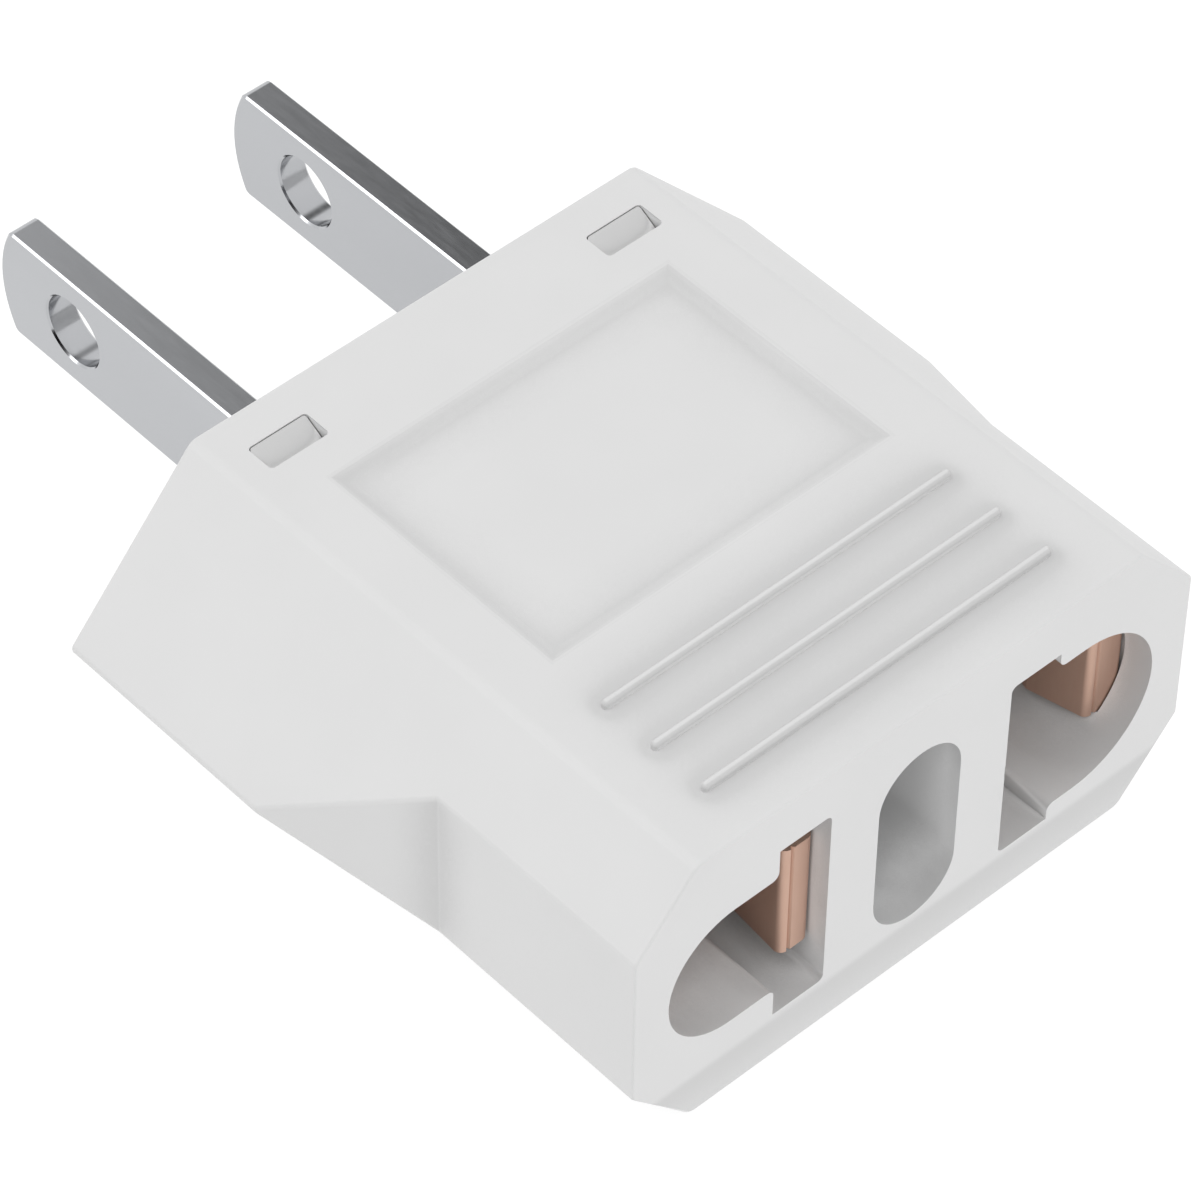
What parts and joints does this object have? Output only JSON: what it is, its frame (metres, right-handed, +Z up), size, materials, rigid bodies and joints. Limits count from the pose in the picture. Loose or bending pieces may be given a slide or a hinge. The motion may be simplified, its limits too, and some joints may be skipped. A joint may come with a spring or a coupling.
{
  "type": "travel plug adapter",
  "caption": "White travel plug adapter: flared moulded housing with combined slot-and-round sockets in front and flat parallel blades at the rear.",
  "frame": {"origin": "under the middle of the whole object, on the flat bottom face it rests on", "axes": "+X across the width, +Y from the socket face towards the blade tips, +Z up through the ribbed face"},
  "size_m": [0.0366, 0.0478, 0.0153],
  "materials": {
    "white_plastic": "moulded white, fine satin texture",
    "nickel_plate": "satin nickel plate with bright rolled edges",
    "contact_copper": "bare spring copper, smooth rolled",
    "rivet_brass": "plain turned"
  },
  "bodies": {
    "root": {"housing": "white_plastic", "rear_cover": "white_plastic", "blade_left": "nickel_plate", "blade_right": "nickel_plate", "contact_left": "contact_copper", "contact_right": "contact_copper", "rivet_left_front": "rivet_brass", "rivet_left_rear": "rivet_brass", "rivet_right_front": "rivet_brass", "rivet_right_rear": "rivet_brass"}
  },
  "joints": []
}
